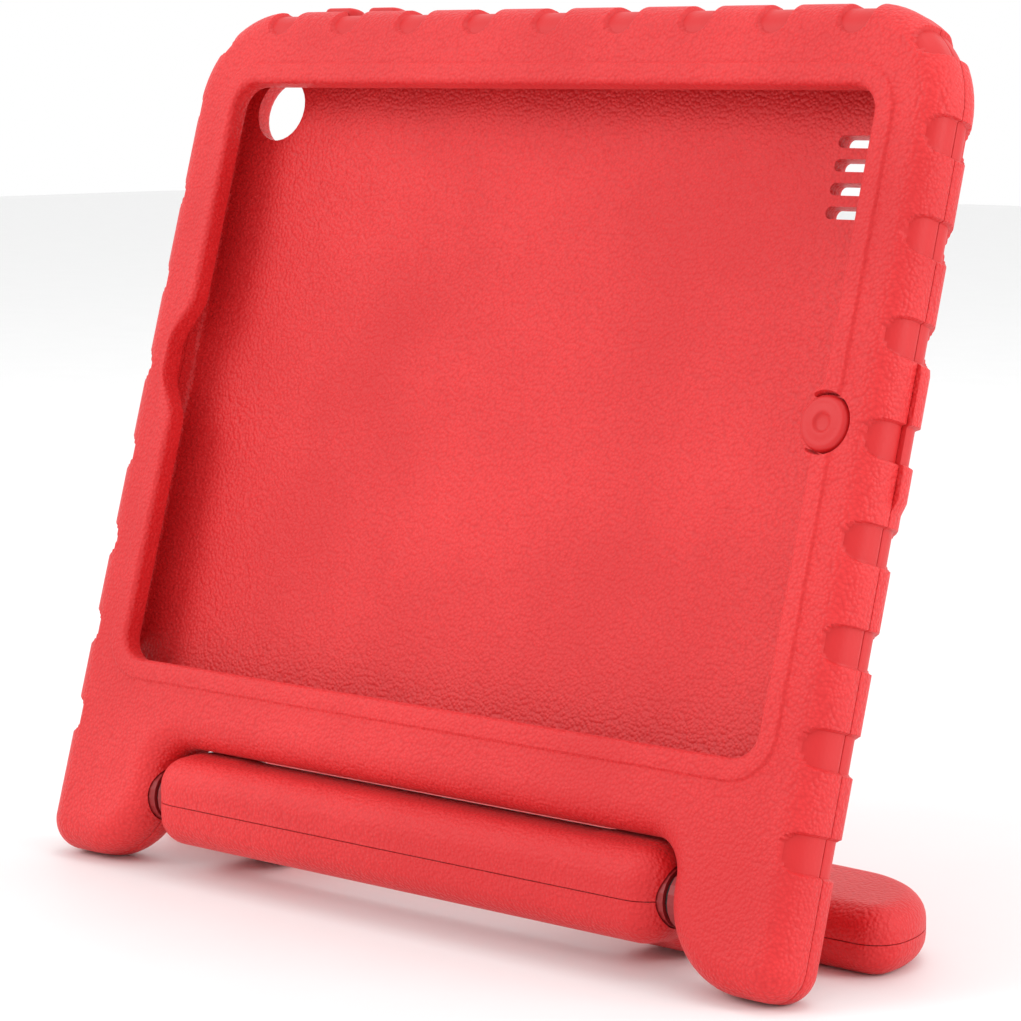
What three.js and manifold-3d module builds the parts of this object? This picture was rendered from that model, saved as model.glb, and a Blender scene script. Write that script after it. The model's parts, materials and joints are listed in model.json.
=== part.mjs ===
// A foam bumper case for a 9.7 inch tablet, standing on its fold-back carry handle.
// Millimetres. +X right, +Y back, +Z up. Origin: on the floor, under the middle of the case.
import * as THREE from 'three';
import { mergeVertices } from 'three/addons/utils/BufferGeometryUtils.js';
import Module from 'manifold-3d';

const wasm = await Module();
wasm.setup();

// ---- driving dimensions -------------------------------------------------------------------
const LEAN = THREE.MathUtils.degToRad(16.5); // the case leans back from upright
const FLOOR_DROP = 133.2; // middle of the case above the floor
const GAP = 0.3; // clearance between neighbouring pieces
const HALF_GAP = GAP / 2;

// Case body, in its own plane: x right, y up, z out of the screen, z = 0 at the tablet's glass.
const CASE = {
  halfWidth: 128.5,
  top: 104.5,
  footBottom: -136.8,
  front: 6,
  back: -14.9,
  edgeRound: 8,
  topCorner: 27.5,
  footOuterCorner: 8.6,
  footInnerCorner: 23,
  seam: -5.2,
};
const NOTCH = { halfWidth: 90, top: -103.5, corner: 9 };
const LIP = { halfWidth: 110, halfHeight: 82, corner: 7 };
const LENS_NOTCH = { depth: 6.5, middle: 3, half: 11, ease: 9 };
const POCKET = { halfWidth: 121, halfHeight: 93.3, corner: 10, floor: -9.7, ceiling: 0.2 };
const TREAD = { width: 9.5, depth: 1.2 };
const TREAD_ROWS = {
  right: { first: 71.6, pitch: 24.7, count: 8, reach: 3.9, lastReach: 6.9 },
  left: { first: 75, pitch: 25, count: 8, reach: 3.9, lastReach: 6.9 },
  top: { first: -98.6, pitch: 24.65, count: 9, reach: 8.4, lastReach: 9.4 },
};
const CORNER_TREAD = { angle: THREE.MathUtils.degToRad(42), reach: 4.6 };

// Soft push pads moulded over the tablet's controls.
const HOME_PAD = { x: 112, y: -0.5, radius: 7, face: 5.2, foot: 1.2, dish: 3.1, dishDepth: 0.6 };
const HOME_CHAMFER = { foot: 0.8, face: 1.2 };
const POWER_PAD = { y: 68, z: -4.4, length: 17, width: 6.4, proud: 1.2 };
const VOLUME_PAD = { z: -4.4, length: 12.5, width: 6.4, proud: 1.2 };
const VOLUME_UP_X = -83.2;
const VOLUME_DOWN_X = -66.6;
const PAD_CLEARANCE = 0.6;
const PAD_ROUND = 0.8;

// Raised smooth block on the right wall, behind the parting line, over the tablet's dock port.
const DOCK_BLOCK = { high: 17.3, low: -18.2, proud: 1.3, inset: 4.5 };

// Openings that reach the tablet's ports.
const REAR_LENS = { x: -106.5, y: 78.5, radius: 9 };
const SPEAKER = { x: 103, y: 72, length: 26, width: 3.2, rows: 4, pitch: 6 };
const JACK = { y: -79.5, z: -5.2, radius: 4.2 };
const MUTE = { x: -98.6, z: -4.8, length: 11, width: 7.2 };

// Handle: s runs back from the pivot, h runs up from it, with the loop lying on the floor.
const PIVOT = { y: -116.7, z: -5.2 };
const BAR = { halfLength: 88.6, front: -11.2, back: 12, halfThick: 12, round: 8 };
const LOOP = { halfWidth: 128.4, front: 27, back: 69, rearBow: 2.5, rearCorner: 31, frontCorner: 8 };
const LOOP_THICK = 17.4;
const LOOP_ROUND = 7;
const GRIP = { halfWidth: 62, back: 46, corner: 11 };
const NECK_OUTER = 82;

// Hinge hardware at each end of the bar.
const PIN = { radius: 3, inner: 73, outer: 106 };
const FLANGE = { radius: 7.4, thick: 3 };
const BUSH = { radius: 5.6, bore: 3.3 };
const SOCKET_END = 104;
const HUB_END = 76.5;
const CLIP = { radius: 5, thick: 1.2, mouth: 3.2 };
const WASHER = { radius: 6.4, bore: 3.6, play: 0.2 };
const PIN_GROOVE = { depth: 0.6, width: CLIP.thick + GAP };

const FOAM = { color: 0xe1282e, roughness: 0.55, metalness: 0 };
const HARD_PLASTIC = { color: 0xa31a1f, roughness: 0.45, metalness: 0 };
const STEEL = { color: 0xb9bcc0, roughness: 0.3, metalness: 1 };
const RUBBER = { color: 0x2a2a2c, roughness: 0.9, metalness: 0 };

// ---- solids -------------------------------------------------------------------------------
function solid(geometry, matrix) {
  const flat = geometry.index ? geometry.toNonIndexed() : geometry.clone();
  flat.deleteAttribute('normal');
  flat.deleteAttribute('uv');
  if (matrix) flat.applyMatrix4(matrix);
  const merged = mergeVertices(flat, 1e-4);
  return new wasm.Manifold(
    new wasm.Mesh({
      numProp: 3,
      vertProperties: merged.attributes.position.array,
      triVerts: new Uint32Array(merged.index.array),
    }),
  );
}

function mesh(name, body, finish) {
  const found = body.getMesh();
  const geometry = new THREE.BufferGeometry();
  geometry.setAttribute('position', new THREE.BufferAttribute(found.vertProperties, 3));
  geometry.setIndex(new THREE.BufferAttribute(found.triVerts, 1));
  const flat = geometry.toNonIndexed();
  flat.computeVertexNormals();
  const made = new THREE.Mesh(flat, new THREE.MeshStandardMaterial(finish));
  made.name = name;
  return made;
}

function together(bodies) {
  return bodies.reduce((sum, one) => sum.add(one));
}

function prism(shape, z0, z1, arcSteps = 6) {
  const geometry = new THREE.ExtrudeGeometry(shape, {
    depth: z1 - z0,
    bevelEnabled: false,
    curveSegments: arcSteps,
  });
  return solid(geometry, new THREE.Matrix4().makeTranslation(0, 0, z0));
}

// A plate whose two faces meet its rim in quarter rounds.
function roundedPlate(shape, z0, z1, round, arcSteps = 6, roundSteps = 3) {
  const geometry = new THREE.ExtrudeGeometry(shape, {
    depth: z1 - z0 - 2 * round,
    bevelEnabled: true,
    bevelSize: round,
    bevelThickness: round,
    bevelOffset: -round,
    bevelSegments: roundSteps,
    curveSegments: arcSteps,
  });
  return solid(geometry, new THREE.Matrix4().makeTranslation(0, 0, z0 + round));
}

function box(x0, x1, y0, y1, z0, z1) {
  const middle = new THREE.Matrix4().makeTranslation((x0 + x1) / 2, (y0 + y1) / 2, (z0 + z1) / 2);
  return solid(new THREE.BoxGeometry(x1 - x0, y1 - y0, z1 - z0), middle);
}

// A cylinder along X between x0 and x1, centred on (y, z).
function rodX(x0, x1, y, z, radius, sides = 20) {
  const turn = new THREE.Matrix4().makeRotationZ(Math.PI / 2);
  const place = new THREE.Matrix4().makeTranslation((x0 + x1) / 2, y, z);
  return solid(new THREE.CylinderGeometry(radius, radius, x1 - x0, sides), place.multiply(turn));
}

function rodZ(x, y, z0, z1, radius, sides = 28) {
  const turn = new THREE.Matrix4().makeRotationX(Math.PI / 2);
  const place = new THREE.Matrix4().makeTranslation(x, y, (z0 + z1) / 2);
  return solid(new THREE.CylinderGeometry(radius, radius, z1 - z0, sides), place.multiply(turn));
}

// ---- outlines -----------------------------------------------------------------------------
function roundedRectangle(x0, x1, y0, y1, corner) {
  const shape = new THREE.Shape();
  shape.absarc(x1 - corner, y1 - corner, corner, 0, Math.PI / 2);
  shape.absarc(x0 + corner, y1 - corner, corner, Math.PI / 2, Math.PI);
  shape.absarc(x0 + corner, y0 + corner, corner, Math.PI, 1.5 * Math.PI);
  shape.absarc(x1 - corner, y0 + corner, corner, 1.5 * Math.PI, 2 * Math.PI);
  shape.closePath();
  return shape;
}

function caseOutline(inset = 0) {
  const side = CASE.halfWidth - inset;
  const top = CASE.top - inset;
  const bottom = CASE.footBottom + inset;
  const notchSide = NOTCH.halfWidth + inset;
  const notchTop = NOTCH.top + inset;
  const crown = CASE.topCorner - inset;
  const outer = CASE.footOuterCorner - inset;
  const inner = CASE.footInnerCorner - inset;
  const hollow = NOTCH.corner + inset;
  const quarter = Math.PI / 2;
  const shape = new THREE.Shape();
  shape.absarc(side - crown, top - crown, crown, 0, quarter);
  shape.absarc(crown - side, top - crown, crown, quarter, 2 * quarter);
  shape.absarc(outer - side, bottom + outer, outer, 2 * quarter, 3 * quarter);
  shape.absarc(-notchSide - inner, bottom + inner, inner, 3 * quarter, 4 * quarter);
  shape.absarc(hollow - notchSide, notchTop - hollow, hollow, 2 * quarter, quarter, true);
  shape.absarc(notchSide - hollow, notchTop - hollow, hollow, quarter, 0, true);
  shape.absarc(notchSide + inner, bottom + inner, inner, 2 * quarter, 3 * quarter);
  shape.absarc(side - outer, bottom + outer, outer, 3 * quarter, 4 * quarter);
  shape.closePath();
  return shape;
}

// The window over the screen, with a soft bay on its left side for the front camera.
function lipOutline() {
  const { halfWidth, halfHeight, corner } = LIP;
  const { depth, middle, half, ease } = LENS_NOTCH;
  const shape = new THREE.Shape();
  shape.absarc(halfWidth - corner, halfHeight - corner, corner, 0, Math.PI / 2);
  shape.absarc(corner - halfWidth, halfHeight - corner, corner, Math.PI / 2, Math.PI);
  const bay = -halfWidth - depth;
  const high = middle + half;
  const low = middle - half;
  shape.lineTo(-halfWidth, high + ease);
  shape.bezierCurveTo(-halfWidth, high + ease / 2, bay, high + ease / 2, bay, high);
  shape.lineTo(bay, low);
  shape.bezierCurveTo(bay, low - ease / 2, -halfWidth, low - ease / 2, -halfWidth, low - ease);
  shape.absarc(corner - halfWidth, corner - halfHeight, corner, Math.PI, 1.5 * Math.PI);
  shape.absarc(halfWidth - corner, corner - halfHeight, corner, 1.5 * Math.PI, 2 * Math.PI);
  shape.closePath();
  return shape;
}

// ---- treads -------------------------------------------------------------------------------
// Each tread is a D-ended groove that wraps round the rim; this is its plan footprint.
function treadFootprint(reach) {
  const half = TREAD.width / 2;
  const shape = new THREE.Shape();
  shape.moveTo(4, -half);
  shape.lineTo(4, half);
  shape.absarc(half - reach, 0, half, Math.PI / 2, 1.5 * Math.PI);
  shape.closePath();
  return shape;
}

// Footprints are placed with +x pointing out of the case through the rim.
function treadPlaces() {
  const places = [];
  const { right, left, top } = TREAD_ROWS;
  const reachOf = (row, k) => row.reach + ((row.lastReach - row.reach) * k) / (row.count - 1);
  for (let k = 0; k < right.count; k++) {
    places.push([CASE.halfWidth, right.first - k * right.pitch, 0, reachOf(right, k)]);
  }
  for (let k = 0; k < left.count; k++) {
    places.push([-CASE.halfWidth, left.first - k * left.pitch, Math.PI, reachOf(left, k)]);
  }
  for (let k = 0; k < top.count; k++) {
    places.push([top.first + k * top.pitch, CASE.top, Math.PI / 2, reachOf(top, k)]);
  }
  for (const turn of [CORNER_TREAD.angle, Math.PI - CORNER_TREAD.angle]) {
    const centre = Math.sign(Math.cos(turn)) * (CASE.halfWidth - CASE.topCorner);
    places.push([
      centre + CASE.topCorner * Math.cos(turn),
      CASE.top - CASE.topCorner + CASE.topCorner * Math.sin(turn),
      turn,
      CORNER_TREAD.reach,
    ]);
  }
  return places;
}

function treadCutter(z0, z1) {
  const cuts = treadPlaces().map(([x, y, turn, reach]) => {
    const place = new THREE.Matrix4().makeTranslation(x, y, 0);
    place.multiply(new THREE.Matrix4().makeRotationZ(turn));
    const block = new THREE.ExtrudeGeometry(treadFootprint(reach), {
      depth: z1 - z0,
      bevelEnabled: false,
      curveSegments: 6,
    });
    return solid(block, place.multiply(new THREE.Matrix4().makeTranslation(0, 0, z0)));
  });
  const under = roundedPlate(
    caseOutline(TREAD.depth),
    CASE.back + TREAD.depth,
    CASE.front - TREAD.depth,
    CASE.edgeRound - TREAD.depth,
  );
  return together(cuts).subtract(under);
}

// ---- case body ----------------------------------------------------------------------------
function padSlot(pad) {
  return { length: pad.length + 2 * PAD_CLEARANCE, width: pad.width + 2 * PAD_CLEARANCE };
}

// A slot through the left wall (along X), or through the top wall (along Y).
function leftSlot(y, z, length, width, x0, x1) {
  return box(x0, x1, y - length / 2, y + length / 2, z - width / 2, z + width / 2);
}

function topSlot(x, z, length, width, y0, y1) {
  return box(x - length / 2, x + length / 2, y0, y1, z - width / 2, z + width / 2);
}

function hingePocket(sign) {
  const span = (a, b) => [Math.min(sign * a, sign * b), Math.max(sign * a, sign * b)];
  const rod = (a, b, radius) => rodX(...span(a, b), PIVOT.y, PIVOT.z, radius);
  return rod(NOTCH.halfWidth - 1, NOTCH.halfWidth + FLANGE.thick + GAP, FLANGE.radius + GAP)
    .add(rod(NOTCH.halfWidth, SOCKET_END + GAP, BUSH.radius + GAP))
    .add(rod(SOCKET_END, PIN.outer + GAP, PIN.radius + GAP));
}

function caseShells() {
  const outside = roundedPlate(caseOutline(), CASE.back, CASE.front, CASE.edgeRound);
  const { halfWidth, halfHeight, corner, floor, ceiling } = POCKET;
  const pocket = prism(
    roundedRectangle(-halfWidth, halfWidth, -halfHeight, halfHeight, corner),
    floor,
    ceiling,
  );
  const window = prism(lipOutline(), floor + 1, CASE.front + 1);
  const homeHole = rodZ(HOME_PAD.x, HOME_PAD.y, 0, CASE.front + 1, HOME_PAD.radius + PAD_CLEARANCE);
  const power = padSlot(POWER_PAD);
  const volume = padSlot(VOLUME_PAD);
  const outX = -CASE.halfWidth - 2;
  const outY = CASE.top + 2;
  const cuts = [
    pocket,
    window,
    homeHole,
    treadCutter(CASE.back - 2, CASE.front + 2),
    hingePocket(1),
    hingePocket(-1),
    leftSlot(POWER_PAD.y, POWER_PAD.z, power.length, power.width, outX, -halfWidth + 1),
    topSlot(VOLUME_UP_X, VOLUME_PAD.z, volume.length, volume.width, halfHeight - 1, outY),
    topSlot(VOLUME_DOWN_X, VOLUME_PAD.z, volume.length, volume.width, halfHeight - 1, outY),
    topSlot(MUTE.x, MUTE.z, MUTE.length, MUTE.width, halfHeight - 2, outY),
    rodX(outX, -halfWidth + 1, JACK.y, JACK.z, JACK.radius),
    rodZ(REAR_LENS.x, REAR_LENS.y, CASE.back - 1, floor + 1, REAR_LENS.radius),
  ];
  for (let k = 0; k < SPEAKER.rows; k++) {
    const y = SPEAKER.y - k * SPEAKER.pitch;
    const x0 = SPEAKER.x - SPEAKER.length / 2;
    const slot = roundedRectangle(
      x0,
      x0 + SPEAKER.length,
      y - SPEAKER.width / 2,
      y + SPEAKER.width / 2,
      SPEAKER.width / 2 - 0.1,
    );
    cuts.push(prism(slot, CASE.back - 1, floor + 1, 3));
  }
  const whole = outside.subtract(together(cuts));
  const reach = 200;
  const ahead = box(-reach, reach, -reach, reach, CASE.seam + HALF_GAP, CASE.front + 5);
  const behind = box(-reach, reach, -reach, reach, CASE.back - 5, CASE.seam - HALF_GAP);
  return [whole.intersect(ahead), whole.intersect(behind).add(dockBlock())];
}

// The block stands out by the same amount over the plain rim and over the tread that crosses it.
function dockBlock() {
  const tread = TREAD_ROWS.right.first - 3 * TREAD_ROWS.right.pitch;
  const near = [CASE.seam - HALF_GAP, CASE.back + DOCK_BLOCK.inset];
  const root = CASE.halfWidth - 3;
  const crest = CASE.halfWidth + DOCK_BLOCK.proud;
  const sunk = crest - TREAD.depth;
  const high = tread + TREAD.width / 2;
  const low = tread - TREAD.width / 2;
  return together([
    box(root, crest, high, DOCK_BLOCK.high, near[1], near[0]),
    box(root, sunk, low, high, near[1], near[0]),
    box(root, crest, DOCK_BLOCK.low, low, near[1], near[0]),
  ]);
}

// ---- push pads ----------------------------------------------------------------------------
function homePad() {
  const { radius, face, foot, dish, dishDepth } = HOME_PAD;
  const profile = [
    [0, foot],
    [radius - HOME_CHAMFER.foot, foot],
    [radius, foot + HOME_CHAMFER.foot],
    [radius, face - HOME_CHAMFER.face],
    [radius - HOME_CHAMFER.face, face],
    [dish, face],
    [dish - dishDepth, face - dishDepth],
    [0, face - dishDepth],
  ];
  const points = profile.map(([r, z]) => new THREE.Vector2(r, z));
  const turned = new THREE.LatheGeometry(points, 28);
  return solid(turned, new THREE.Matrix4().makeRotationX(Math.PI / 2));
}

// A stadium-faced plug that runs along its own z from its inner foot (0) to its proud face.
function wallPad(pad, wallDepth) {
  const outline = roundedRectangle(
    -pad.length / 2,
    pad.length / 2,
    -pad.width / 2,
    pad.width / 2,
    pad.width / 2 - 0.4,
  );
  return roundedPlate(outline, 0, wallDepth + pad.proud, PAD_ROUND, 5, 2);
}

// ---- handle -------------------------------------------------------------------------------
const pivotHeight = FLOOR_DROP + PIVOT.y * Math.cos(LEAN) + PIVOT.z * Math.sin(LEAN);
const loopTop = LOOP_THICK - pivotHeight;
const loopBottom = -pivotHeight;
const loopMiddle = (loopTop + loopBottom) / 2;

// Plan outlines are drawn with x right and y = s, then stood so that their depth runs up h.
function loopPlan() {
  const { halfWidth, front, back, rearBow, rearCorner, frontCorner } = LOOP;
  const shape = new THREE.Shape();
  shape.absarc(halfWidth - frontCorner, front + frontCorner, frontCorner, -Math.PI / 2, 0);
  shape.absarc(halfWidth - rearCorner, back - rearBow - rearCorner, rearCorner, 0, Math.PI / 2);
  shape.quadraticCurveTo(0, back + rearBow, rearCorner - halfWidth, back - rearBow);
  shape.absarc(rearCorner - halfWidth, back - rearBow - rearCorner, rearCorner, Math.PI / 2, Math.PI);
  shape.absarc(frontCorner - halfWidth, front + frontCorner, frontCorner, Math.PI, 1.5 * Math.PI);
  const { halfWidth: grip, back: gripBack, corner } = GRIP;
  shape.lineTo(-grip, front);
  shape.absarc(corner - grip, gripBack - corner, corner, Math.PI, Math.PI / 2, true);
  shape.absarc(grip - corner, gripBack - corner, corner, Math.PI / 2, 0, true);
  shape.lineTo(grip, front);
  shape.closePath();
  return shape;
}

// Side profile of a neck, from the bar back and down to the loop.
function neckProfile() {
  const top = [
    [LOOP.front + 8, loopTop - 0.5],
    [LOOP.front - 1, loopTop],
    [LOOP.front - 6, loopTop + 3.6],
    [14, 8],
    [9.2, 10.6],
    [0, 11.3],
  ];
  const bottom = [
    [0, -11.5],
    [6, -13.4],
    [14, loopBottom + 2],
    [LOOP.front - 4, loopBottom + 0.2],
    [LOOP.front + 8, loopBottom + 0.5],
  ];
  const shape = new THREE.Shape();
  shape.setFromPoints([...top, ...bottom].map(([s, h]) => new THREE.Vector2(s, h)));
  return shape;
}

// Turns a solid drawn as (s, h) in its own x, y and extruded along z into the handle's frame.
function sideways(shape, x0, x1) {
  const geometry = new THREE.ExtrudeGeometry(shape, { depth: x1 - x0, bevelEnabled: false });
  const turn = new THREE.Matrix4().set(0, 0, 1, x0, 1, 0, 0, 0, 0, 1, 0, 0, 0, 0, 0, 1);
  return solid(geometry, turn);
}

function barSolid() {
  const { halfLength, front, back, halfThick, round } = BAR;
  const plan = roundedRectangle(-halfLength, halfLength, front, back, round + 0.4);
  return roundedPlate(plan, -halfThick, halfThick, round);
}

// Everything above the handle's own seam, or below it, as a thick slab stepped like the neck.
function seamSide(above) {
  const shift = above ? HALF_GAP : -HALF_GAP;
  const far = above ? 60 : -60;
  const line = [
    [-40, 0],
    [7, 0],
    [LOOP.front - 3, loopMiddle],
    [120, loopMiddle],
  ];
  const shape = new THREE.Shape();
  const edge = line.map(([s, h]) => new THREE.Vector2(s, h + shift));
  shape.setFromPoints([...edge, new THREE.Vector2(120, far), new THREE.Vector2(-40, far)]);
  return sideways(shape, -150, 150);
}

function hubPocket(sign) {
  const span = (a, b) => [Math.min(sign * a, sign * b), Math.max(sign * a, sign * b)];
  const rod = (a, b, radius) => rodX(...span(a, b), 0, 0, radius);
  const face = BAR.halfLength - FLANGE.thick - GAP;
  return rod(face, BAR.halfLength + 1, FLANGE.radius + GAP)
    .add(rod(HUB_END - CLIP.thick - 3 * GAP, face + 1, BUSH.radius + GAP))
    .add(rod(PIN.inner - GAP, HUB_END, PIN.radius + GAP));
}

function handleHalves() {
  const loop = roundedPlate(loopPlan(), loopBottom, loopTop, LOOP_ROUND);
  const pieces = [
    barSolid(),
    loop,
    sideways(neckProfile(), GRIP.halfWidth, NECK_OUTER),
    sideways(neckProfile(), -NECK_OUTER, -GRIP.halfWidth),
  ];
  const whole = together(pieces).subtract(hubPocket(1)).subtract(hubPocket(-1));
  return [whole.intersect(seamSide(true)), whole.intersect(seamSide(false))];
}

// ---- hinge hardware, drawn on the X axis at +X; the other end mirrors it -------------------
function footSocket() {
  const face = NOTCH.halfWidth;
  return rodX(face, face + FLANGE.thick, 0, 0, FLANGE.radius)
    .add(rodX(face + 1, SOCKET_END, 0, 0, BUSH.radius))
    .subtract(rodX(face - 1, SOCKET_END + 1, 0, 0, BUSH.bore));
}

function handleHub() {
  const face = BAR.halfLength;
  return rodX(face - FLANGE.thick, face, 0, 0, FLANGE.radius)
    .add(rodX(HUB_END, face - 1, 0, 0, BUSH.radius))
    .subtract(rodX(HUB_END - 1, face + 1, 0, 0, BUSH.bore));
}

function hingePin() {
  const grooveEnd = HUB_END - HALF_GAP;
  const groove = rodX(grooveEnd - PIN_GROOVE.width, grooveEnd, 0, 0, PIN.radius + 1);
  const core = rodX(PIN.inner + 1, HUB_END + 1, 0, 0, PIN.radius - PIN_GROOVE.depth);
  return rodX(PIN.inner, PIN.outer, 0, 0, PIN.radius).subtract(groove).add(core);
}

function retainingClip() {
  const x1 = HUB_END - GAP;
  const x0 = x1 - CLIP.thick;
  const hole = rodX(x0 - 1, x1 + 1, 0, 0, PIN.radius - PIN_GROOVE.depth + GAP);
  const ring = rodX(x0, x1, 0, 0, CLIP.radius).subtract(hole);
  const mouth = box(x0 - 1, x1 + 1, -CLIP.mouth / 2, CLIP.mouth / 2, 0, CLIP.radius + 1);
  return ring.subtract(mouth);
}

function frictionWasher() {
  const x0 = BAR.halfLength + WASHER.play;
  const x1 = NOTCH.halfWidth - WASHER.play;
  return rodX(x0, x1, 0, 0, WASHER.radius).subtract(rodX(x0 - 1, x1 + 1, 0, 0, WASHER.bore));
}

// ---- assembly -----------------------------------------------------------------------------
const standing = new THREE.Group();

const leaning = new THREE.Group();
leaning.rotation.x = Math.PI / 2 - LEAN;
leaning.position.set(0, 0, FLOOR_DROP);
standing.add(leaning);

const floorCut = box(-300, 300, -300, 300, -60, 0);
const floorInLean = floorCut.transform(
  new THREE.Matrix4()
    .makeRotationX(-leaning.rotation.x)
    .multiply(new THREE.Matrix4().makeTranslation(0, 0, -FLOOR_DROP))
    .toArray(),
);
const [frontShell, rearShell] = caseShells();
leaning.add(mesh('front_shell', frontShell.subtract(floorInLean), FOAM));
leaning.add(mesh('rear_shell', rearShell.subtract(floorInLean), FOAM));

const home = mesh('home_button_pad', homePad(), FOAM);
home.position.set(HOME_PAD.x, HOME_PAD.y, 0);
leaning.add(home);

const wallLeft = CASE.halfWidth - POCKET.halfWidth;
const power = mesh('power_button_pad', wallPad(POWER_PAD, wallLeft), FOAM);
power.rotation.set(0, -Math.PI / 2, Math.PI / 2, 'YXZ');
power.position.set(-POCKET.halfWidth, POWER_PAD.y, POWER_PAD.z);
leaning.add(power);

const wallTop = CASE.top - POCKET.halfHeight;
for (const [name, x] of [['volume_up_pad', VOLUME_UP_X], ['volume_down_pad', VOLUME_DOWN_X]]) {
  const pad = mesh(name, wallPad(VOLUME_PAD, wallTop), FOAM);
  pad.rotation.x = -Math.PI / 2;
  pad.position.set(x, POCKET.halfHeight, VOLUME_PAD.z);
  leaning.add(pad);
}

const handle = new THREE.Group();
const pivotBack = PIVOT.y * Math.sin(LEAN) - PIVOT.z * Math.cos(LEAN);
handle.position.set(0, pivotBack, pivotHeight);
standing.add(handle);
const [upperHalf, lowerHalf] = handleHalves();
handle.add(mesh('handle_upper_half', upperHalf, FOAM));
handle.add(mesh('handle_lower_half', lowerHalf, FOAM));

for (const [side, sign] of [['right', 1], ['left', -1]]) {
  const hinge = new THREE.Group();
  hinge.rotation.z = sign > 0 ? 0 : Math.PI;
  handle.add(hinge);
  hinge.add(mesh(`foot_socket_${side}`, footSocket(), HARD_PLASTIC));
  hinge.add(mesh(`handle_hub_${side}`, handleHub(), HARD_PLASTIC));
  hinge.add(mesh(`hinge_pin_${side}`, hingePin(), STEEL));
  hinge.add(mesh(`retaining_clip_${side}`, retainingClip(), STEEL));
  hinge.add(mesh(`friction_washer_${side}`, frictionWasher(), RUBBER));
}

// The origin lies under the middle of the whole object's depth.
const extent = new THREE.Box3().setFromObject(standing);
standing.position.y = -(extent.min.y + extent.max.y) / 2;
const group = new THREE.Group();
group.add(standing);

export default group;
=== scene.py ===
"""A red foam bumper case for a tablet, standing on its fold-back handle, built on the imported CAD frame."""
import json
import math

import bmesh
import bpy
import numpy as np
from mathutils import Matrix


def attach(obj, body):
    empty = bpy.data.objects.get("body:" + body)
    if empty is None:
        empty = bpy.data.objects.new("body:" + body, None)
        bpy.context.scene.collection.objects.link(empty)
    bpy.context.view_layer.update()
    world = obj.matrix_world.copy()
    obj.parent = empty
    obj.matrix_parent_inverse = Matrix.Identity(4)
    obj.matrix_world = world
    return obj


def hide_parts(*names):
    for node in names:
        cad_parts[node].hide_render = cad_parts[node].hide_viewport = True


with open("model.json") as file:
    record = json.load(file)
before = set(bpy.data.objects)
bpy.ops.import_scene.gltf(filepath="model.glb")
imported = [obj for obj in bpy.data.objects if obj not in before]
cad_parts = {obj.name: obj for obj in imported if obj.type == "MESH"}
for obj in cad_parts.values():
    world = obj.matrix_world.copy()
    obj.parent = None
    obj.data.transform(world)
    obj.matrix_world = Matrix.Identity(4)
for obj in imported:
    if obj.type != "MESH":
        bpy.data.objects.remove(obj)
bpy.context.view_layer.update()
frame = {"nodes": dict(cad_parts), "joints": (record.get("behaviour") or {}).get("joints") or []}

import openvdb
from mathutils import Matrix, Vector
from mathutils.geometry import delaunay_2d_cdt

MM = 0.001

# ---- the case's own plane: x right, y up the case, z out of the screen, in millimetres ------
JOINTS = {j["name"]: j for j in frame["joints"]}
PRESS = Vector(JOINTS["home_press"]["axis"])
HINGE = Vector(JOINTS["handle_hinge"]["pos_m"])
LEAN = math.atan2(-PRESS.z, PRESS.y)
PIVOT_Y, PIVOT_Z = -116.7, -5.2
UP = Vector((0, math.sin(LEAN), math.cos(LEAN)))
OUT = -PRESS
CASE_ORIGIN = HINGE - (UP * PIVOT_Y + OUT * PIVOT_Z) * MM

SIDE = 128.5
TOP = 104.5
FOOT_BOTTOM = -136.8
FRONT = 5.3
BACK = -14.9
ROUND = 8.0
SEAM = -5.2
HALF_SEAM = 0.07
TOP_CORNER = 27.5
FOOT_OUTER, FOOT_INNER = 8.6, 23.0
NOTCH_SIDE, NOTCH_TOP, NOTCH_CORNER = 90.0, -103.5, 9.0
QUARTER = math.pi / 2

LIP_X, LIP_Y, LIP_CORNER = 110.0, 82.0, 7.0
BAND = 6.35
BAND_TOP = 6.0
LIP_EDGE = 1.6
BAND_STEP = (5.2, 6.1)
BAY_Y = 3.0
POCKET_X, POCKET_Y, POCKET_CORNER = 121.0, 93.3, 10.0
POCKET_FLOOR, POCKET_CEILING = -9.7, 0.2

TREAD_HALF, TREAD_DEPTH, TREAD_SOFT = 4.75, 1.2, 0.24
FINE_STEP = 0.34

HOME_X, HOME_Y, HOME_R = 112.0, -0.5, 7.0

# Local x, y and z axes of whatever faces out of a side of the case.
FACING_SCREEN = ((1, 0, 0), (0, 1, 0), (0, 0, 1))
FACING_BACK = ((1, 0, 0), (0, -1, 0), (0, 0, -1))
FACING_LEFT = ((0, 1, 0), (0, 0, 1), (-1, 0, 0))
FACING_TOP = ((1, 0, 0), (0, 0, 1), (0, 1, 0))


# ---- mesh helpers ---------------------------------------------------------------------------
def placed(frame_matrix):
    """Millimetres in a local frame to metres in the row frame."""
    return frame_matrix @ Matrix.Scale(MM, 4)


def frame_of(x_axis, y_axis, z_axis, origin):
    made = Matrix((x_axis, y_axis, z_axis)).transposed().to_4x4()
    made.translation = origin
    return made


CASE = placed(frame_of(Vector((1, 0, 0)), UP, OUT, CASE_ORIGIN))
HANDLE = placed(frame_of(Vector((1, 0, 0)), Vector((0, 1, 0)), Vector((0, 0, 1)), HINGE))


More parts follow.
